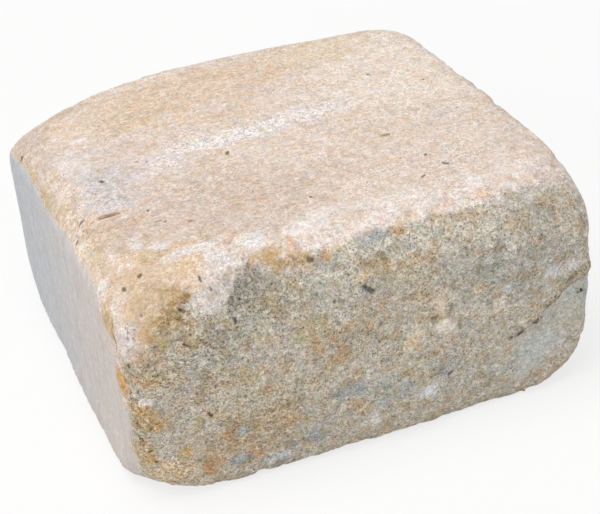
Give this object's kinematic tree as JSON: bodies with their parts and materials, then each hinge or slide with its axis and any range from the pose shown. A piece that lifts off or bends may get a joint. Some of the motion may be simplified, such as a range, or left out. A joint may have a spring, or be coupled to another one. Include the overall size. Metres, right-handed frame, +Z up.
{
  "type": "concrete wall block",
  "caption": "Tumbled solid concrete wall block with a rough split face, smooth moulded sides, flat top and bottom beds and worn, rounded edges.",
  "frame": {"origin": "middle of the block's own box, on the plane of its underside", "axes": "+X along the split face, +Y from the split face to the rear, +Z up"},
  "size_m": [0.3103, 0.267, 0.15],
  "materials": {
    "cast_concrete": "dry cast, split and tumbled, matt"
  },
  "bodies": {
    "root": {"wall_block": "cast_concrete"}
  },
  "joints": []
}
